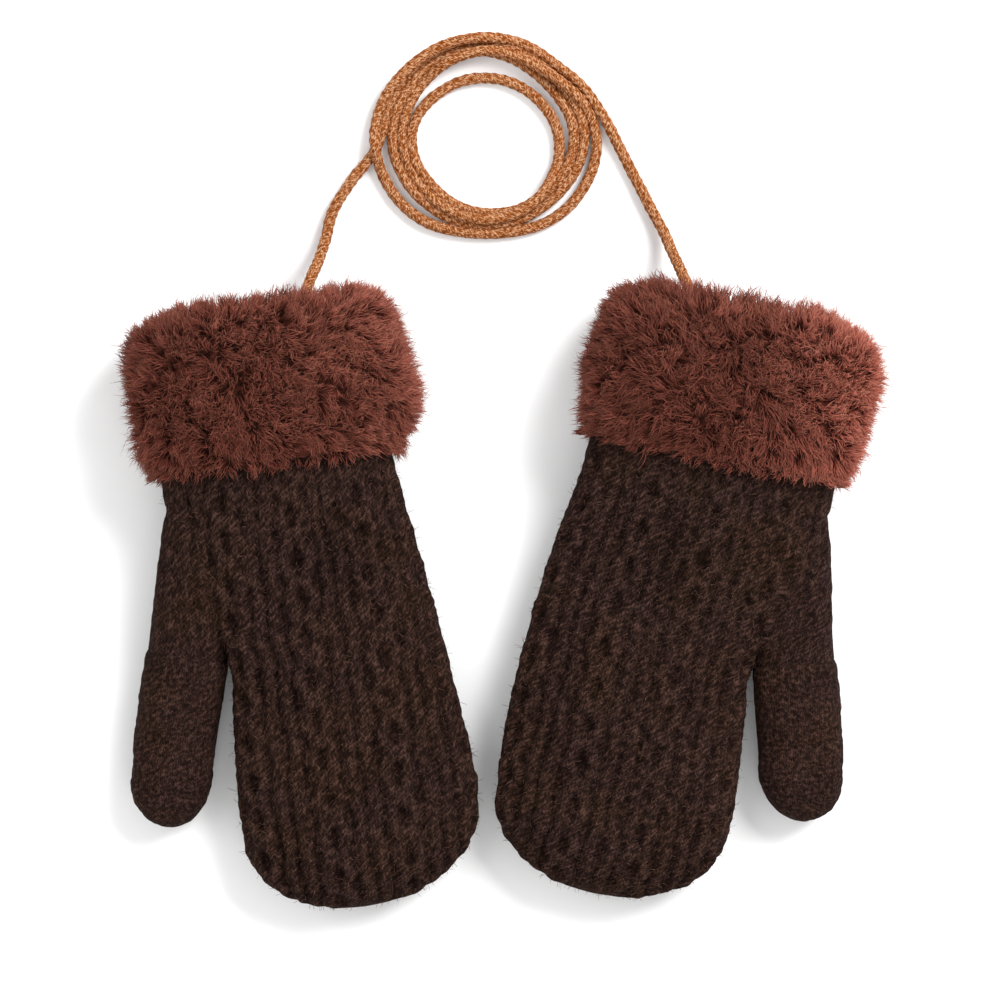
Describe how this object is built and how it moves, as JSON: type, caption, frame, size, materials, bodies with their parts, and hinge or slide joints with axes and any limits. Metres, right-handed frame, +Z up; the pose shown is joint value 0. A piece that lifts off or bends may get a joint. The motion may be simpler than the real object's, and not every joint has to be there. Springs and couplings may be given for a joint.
{
  "type": "pair of baby mittens",
  "caption": "Pair of baby mittens in cabled knit with turned-back plush cuffs, joined by a long coiled cord and laid flat.",
  "frame": {"origin": "middle of the underside of the two mittens' box, on the surface that they lie on; the cord isn't counted", "axes": "+X from the left mitten to the right one, +Y from the fingertips towards the cuffs and the cord, +Z up off the surface"},
  "size_m": [0.1808, 0.2106, 0.0316],
  "materials": {
    "knit": "dark brown cable knit, slightly fuzzy",
    "plush": "reddish brown long-pile plush",
    "cord": "orange brown knitted cord"
  },
  "bodies": {
    "root": {"hand_left_upper": "knit", "hand_left_under": "knit", "thumb_left": "knit", "cuff_left": "plush", "hand_right_upper": "knit", "hand_right_under": "knit", "thumb_right": "knit", "cuff_right": "plush", "cord_left": "cord", "cord_coil": "cord", "cord_right": "cord"}
  },
  "joints": []
}
